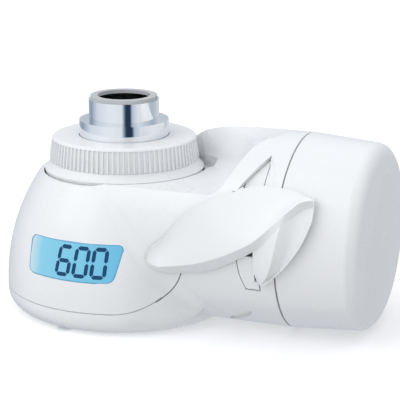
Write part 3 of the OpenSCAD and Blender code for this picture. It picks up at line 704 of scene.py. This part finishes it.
# Tones round the room as polished metal mirrors them, by share of a turn from -Y towards +X
ROOM = [(0.0, (0.85, 0.88, 0.92)), (0.05, (0.80, 0.85, 0.92)), (0.072, (0.16, 0.22, 0.32)),
        (0.085, (0.02, 0.04, 0.08)), (0.125, (0.02, 0.04, 0.08)), (0.145, (0.52, 0.60, 0.70)),
        (0.20, (0.80, 0.84, 0.88)), (0.36, (0.45, 0.52, 0.60)), (0.50, (0.70, 0.74, 0.80)),
        (0.70, (0.28, 0.35, 0.45)), (0.80, (0.70, 0.76, 0.84)), (0.93, (0.85, 0.90, 0.95))]


# Even light on the scene: directions it comes from, and how strong
LOBES = [((0, 0, 1), 1.07), ((0, 0, -1), 0.58), ((-1, 0, 0), 0.58), ((1, 0, 0), 0.385),
         ((0, -1, 0), 0.51), ((0, 1, 0), 0.10)]


def soft_room(world, soft):
    """Strength of the even light by direction."""
    tree = world.node_tree
    coordinates = tree.nodes.new("ShaderNodeTexCoord")
    total = None
    for direction, strength in LOBES:
        facing = tree.nodes.new("ShaderNodeVectorMath")
        facing.operation = "DOT_PRODUCT"
        facing.inputs[1].default_value = direction
        tree.links.new(coordinates.outputs["Generated"], facing.inputs[0])
        shut = tree.nodes.new("ShaderNodeMath")
        shut.operation = "MAXIMUM"
        shut.inputs[1].default_value = 0.0
        tree.links.new(facing.outputs["Value"], shut.inputs[0])
        add = tree.nodes.new("ShaderNodeMath")
        add.operation = "MULTIPLY_ADD"
        add.inputs[1].default_value = strength
        add.inputs[2].default_value = 0.0
        tree.links.new(shut.outputs["Value"], add.inputs[0])
        if total:
            tree.links.new(total, add.inputs[2])
        total = add.outputs["Value"]
    tree.links.new(total, soft.inputs["Strength"])


def reflected_room(world, soft):
    """Even light for the scene, and a room of upright pale and dark bands for reflections."""
    tree = world.node_tree
    coordinates = tree.nodes.new("ShaderNodeTexCoord")
    axes = tree.nodes.new("ShaderNodeSeparateXYZ")
    flip = tree.nodes.new("ShaderNodeMath")
    flip.operation = "MULTIPLY"
    flip.inputs[1].default_value = -1.0
    turn = tree.nodes.new("ShaderNodeMath")
    turn.operation = "ARCTAN2"
    share = tree.nodes.new("ShaderNodeMapRange")
    share.inputs["From Min"].default_value = -math.pi
    share.inputs["From Max"].default_value = math.pi
    share.inputs["To Min"].default_value = -0.5
    share.inputs["To Max"].default_value = 0.5
    wrap = tree.nodes.new("ShaderNodeMath")
    wrap.operation = "FRACT"
    ramp = tree.nodes.new("ShaderNodeValToRGB")
    stops = ramp.color_ramp.elements
    while len(stops) < len(ROOM):
        stops.new(0.5)
    for stop, (position, colour) in zip(stops, ROOM):
        stop.position = position
        stop.color = (*colour, 1)
    room = tree.nodes.new("ShaderNodeBackground")
    path = tree.nodes.new("ShaderNodeLightPath")
    choose = tree.nodes.new("ShaderNodeMixShader")
    join = tree.links.new
    join(coordinates.outputs["Generated"], axes.inputs["Vector"])
    join(axes.outputs["Y"], flip.inputs[0])
    join(axes.outputs["X"], turn.inputs[0])
    join(flip.outputs["Value"], turn.inputs[1])
    join(turn.outputs["Value"], share.inputs["Value"])
    join(share.outputs["Result"], wrap.inputs[0])
    join(wrap.outputs["Value"], ramp.inputs["Fac"])
    join(ramp.outputs["Color"], room.inputs["Color"])
    join(path.outputs["Is Glossy Ray"], choose.inputs["Fac"])
    join(soft.outputs["Background"], choose.inputs[1])
    join(room.outputs["Background"], choose.inputs[2])
    plain = tree.nodes.new("ShaderNodeBackground")
    seen = tree.nodes.new("ShaderNodeMixShader")
    join(path.outputs["Is Camera Ray"], seen.inputs["Fac"])
    join(choose.outputs["Shader"], seen.inputs[1])
    join(plain.outputs["Background"], seen.inputs[2])
    plain.inputs["Color"].default_value = (1.0, 1.0, 1.0, 1.0)
    join(seen.outputs["Shader"], tree.nodes["World Output"].inputs["Surface"])


def studio():
    scene = bpy.context.scene
    scene.view_settings.view_transform = "Standard"
    world = bpy.data.worlds.new("studio")
    scene.world = world
    world.use_nodes = True
    soft = world.node_tree.nodes["Background"]
    soft.inputs["Color"].default_value = (0.97, 0.98, 1.0, 1)
    soft_room(world, soft)
    reflected_room(world, soft)
    middle = (0.028, 0.0, -0.03)
    area_light("key", (-0.55, -0.75, 0.75), middle, (0.9, 0.9), 2.4, (1.0, 1.0, 1.0))


def camera():
    data = bpy.data.cameras.new("camera")
    data.sensor_width = 36
    data.lens = 135.17
    data.clip_start = 0.02
    eye = bpy.data.objects.new("camera", data)
    target = Vector((0.0280, 0.0, 38.83e-3 + BASE_Z))
    azimuth = math.radians(22.049)
    elevation = math.radians(14.886)
    back = Vector((math.cos(elevation) * math.sin(azimuth),
                   -math.cos(elevation) * math.cos(azimuth), math.sin(elevation)))
    eye.location = target + 0.510 * back
    eye.rotation_euler = (-back).to_track_quat("-Z", "Y").to_euler()
    bpy.context.scene.collection.objects.link(eye)
    bpy.context.scene.camera = eye


stage_floor()
studio()
camera()
